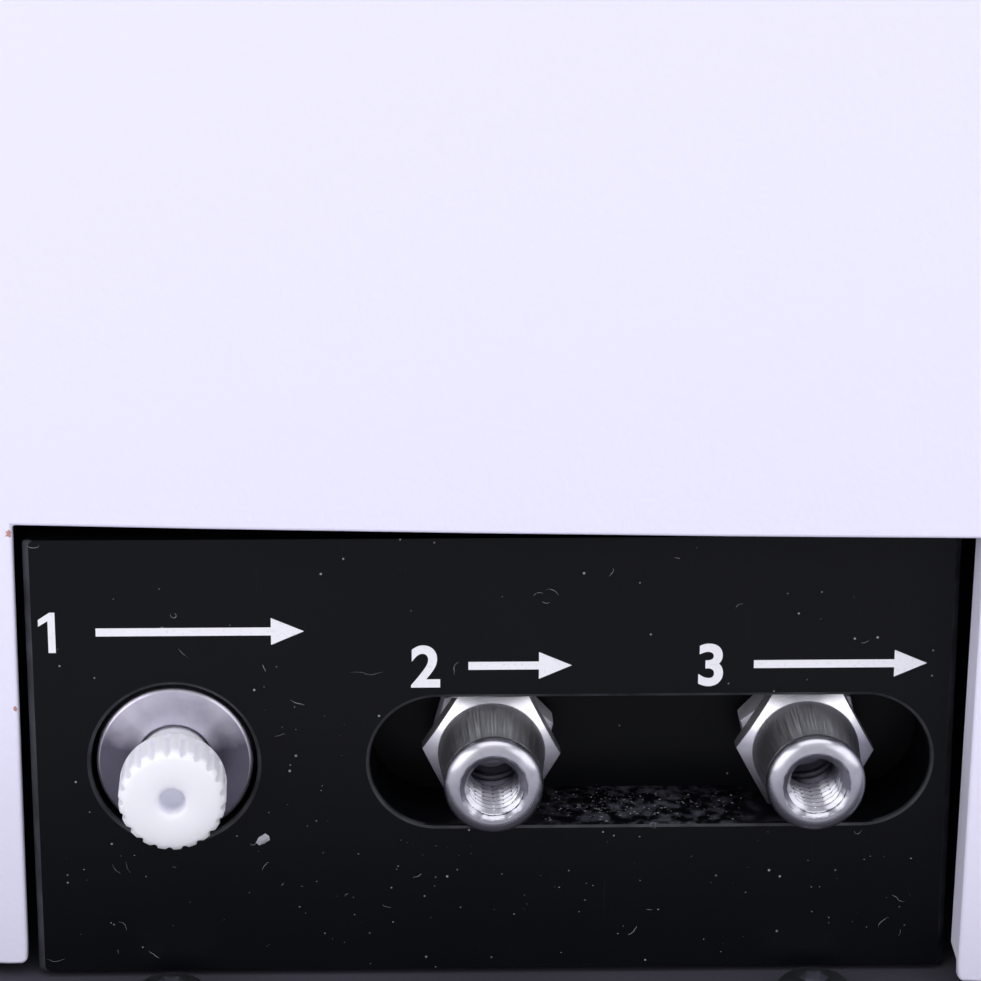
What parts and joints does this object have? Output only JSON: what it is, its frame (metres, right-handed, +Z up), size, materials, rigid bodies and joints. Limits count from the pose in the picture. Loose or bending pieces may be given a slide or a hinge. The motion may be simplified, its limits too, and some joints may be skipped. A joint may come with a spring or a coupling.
{
  "type": "autosampler",
  "caption": "Benchtop liquid-sampling instrument with a bowed white cover, a hinged smoked door, a needle over a vial carousel, and a recessed fluid port block low in front.",
  "frame": {"origin": "on the bench, under the middle of the base", "axes": "+Z up, +X to the right and +Y to the back of the instrument as its user sees it"},
  "size_m": [0.34, 0.46, 0.3],
  "materials": {
    "white_paint": "fine textured powder coat",
    "grey_paint": "satin powder coat",
    "black_anodised": "satin black anodised",
    "stainless_steel": "turned and polished",
    "zinc_plate": "zinc plated",
    "white_polymer": "moulded",
    "black_plastic": "moulded",
    "grey_plastic": "moulded",
    "rubber": "moulded",
    "smoked_acrylic": "smoked, polished",
    "clear_glass": "clear",
    "circuit_board": "solder mask"
  },
  "bodies": {
    "root": {"base_pan": "grey_paint", "carousel_motor": "black_plastic", "chassis": "zinc_plate", "control_bezel": "black_plastic", "cover": "white_paint", "cross_motor": "black_plastic", "cross_rod_lower": "stainless_steel", "cross_rod_upper": "stainless_steel", "display_window": "smoked_acrylic", "fan_frame": "black_plastic", "foot_front_left": "rubber", "foot_front_right": "rubber", "foot_rear_left": "rubber", "foot_rear_right": "rubber", "hinge_pin_lower": "stainless_steel", "hinge_pin_upper": "stainless_steel", "inlet_jam_nut": "stainless_steel", "inlet_union": "stainless_steel", "ledge_screw_left": "zinc_plate", "ledge_screw_right": "zinc_plate", "main_board": "circuit_board", "needle_station": "stainless_steel", "outlet_jam_nut": "stainless_steel", "outlet_union": "stainless_steel", "port_block": "black_anodised", "port_bracket": "black_anodised", "power_inlet": "black_plastic", "power_supply": "zinc_plate", "rear_panel": "grey_paint", "sample_chamber": "grey_plastic", "sample_loop": "stainless_steel", "solvent_coupling": "stainless_steel", "switch_housing": "black_plastic", "syringe_barrel": "clear_glass", "syringe_drive": "white_polymer", "valve_body": "stainless_steel", "valve_motor": "black_plastic", "valve_stator": "stainless_steel"},
    "door": {"door_frame": "white_paint", "door_window": "smoked_acrylic", "door_pull": "black_plastic"},
    "ferrule": {"solvent_ferrule": "white_polymer"},
    "nut": {"solvent_nut": "white_polymer"},
    "carousel": {"carousel": "grey_plastic", "carousel_shaft": "stainless_steel"},
    "cross_carriage": {"cross_carriage": "black_anodised", "lift_rod": "stainless_steel", "lift_motor": "black_plastic"},
    "cross_screw": {"cross_screw": "stainless_steel"},
    "lift_carriage": {"lift_carriage": "white_polymer", "needle": "stainless_steel"},
    "lift_screw": {"lift_screw": "stainless_steel"},
    "valve_rotor": {"valve_rotor": "white_polymer"},
    "plunger": {"syringe_plunger": "stainless_steel"},
    "select_key": {"select_key": "grey_plastic"},
    "run_key": {"run_key": "grey_plastic"},
    "down_key": {"down_key": "grey_plastic"},
    "up_key": {"up_key": "grey_plastic"},
    "rocker": {"power_rocker": "black_plastic"},
    "fan": {"fan_rotor": "black_plastic"}
  },
  "joints": [
    {"name": "door_hinge", "type": "hinge", "parent": "root", "child": "door", "pos_m": [-0.146, -0.19532, 0.2], "axis": [0, 0, -1], "range_deg": [0, 100]},
    {"name": "ferrule_slide", "type": "slide", "parent": "root", "child": "ferrule", "axis": [0, -1, 0], "range_m": [0, 0.00272]},
    {"name": "nut_turn", "type": "hinge", "parent": "ferrule", "child": "nut", "pos_m": [-0.1254, -0.20009, 0.0446], "axis": [0, -1, 0], "range_deg": [0, 1084]},
    {"name": "carousel_turn", "type": "hinge", "parent": "root", "child": "carousel", "pos_m": [-0.064, -0.092, 0.1188], "axis": [0, 0, 1], "continuous": true},
    {"name": "cross_slide", "type": "slide", "parent": "root", "child": "cross_carriage", "axis": [-1, 0, 0], "range_m": [0, 0.07]},
    {"name": "cross_screw_turn", "type": "hinge", "parent": "root", "child": "cross_screw", "pos_m": [0, -0.062, 0.2255], "axis": [1, 0, 0], "range_deg": [0, 2530]},
    {"name": "lift_slide", "type": "slide", "parent": "cross_carriage", "child": "lift_carriage", "axis": [0, 0, -1], "range_m": [0, 0.034]},
    {"name": "lift_screw_turn", "type": "hinge", "parent": "cross_carriage", "child": "lift_screw", "pos_m": [0.054, -0.081, 0.1953], "axis": [0, 0, 1], "range_deg": [0, 2460]},
    {"name": "valve_turn", "type": "hinge", "parent": "root", "child": "valve_rotor", "pos_m": [-0.095, 0.0877, 0.212], "axis": [0, -1, 0], "range_deg": [0, 60]},
    {"name": "plunger_slide", "type": "slide", "parent": "root", "child": "plunger", "axis": [0, 0, -1], "range_m": [0, 0.034]},
    {"name": "select_key_press", "type": "slide", "parent": "root", "child": "select_key", "axis": [-0.0737, 0.9973, 0], "range_m": [0, 0.0012], "stiffness_N_per_m": 300, "springref_m": -0.0005},
    {"name": "run_key_press", "type": "slide", "parent": "root", "child": "run_key", "axis": [-0.0737, 0.9973, 0], "range_m": [0, 0.0012], "stiffness_N_per_m": 300, "springref_m": -0.0005},
    {"name": "down_key_press", "type": "slide", "parent": "root", "child": "down_key", "axis": [-0.0737, 0.9973, 0], "range_m": [0, 0.0012], "stiffness_N_per_m": 300, "springref_m": -0.0005},
    {"name": "up_key_press", "type": "slide", "parent": "root", "child": "up_key", "axis": [-0.0737, 0.9973, 0], "range_m": [0, 0.0012], "stiffness_N_per_m": 300, "springref_m": -0.0005},
    {"name": "rocker_tilt", "type": "hinge", "parent": "root", "child": "rocker", "pos_m": [0.12992, -0.19971, 0.056], "axis": [-0.9967, -0.0812, 0], "range_deg": [0, 14]},
    {"name": "fan_spin", "type": "hinge", "parent": "root", "child": "fan", "pos_m": [0.09, 0.224, 0.196], "axis": [0, 1, 0], "continuous": true}
  ],
  "couplings": [
    {"joint": "nut_turn", "follows": "ferrule_slide", "rad_per_m": 6926.3},
    {"joint": "cross_screw_turn", "follows": "cross_slide", "rad_per_m": 628.32},
    {"joint": "lift_screw_turn", "follows": "lift_slide", "rad_per_m": 1256.6}
  ]
}
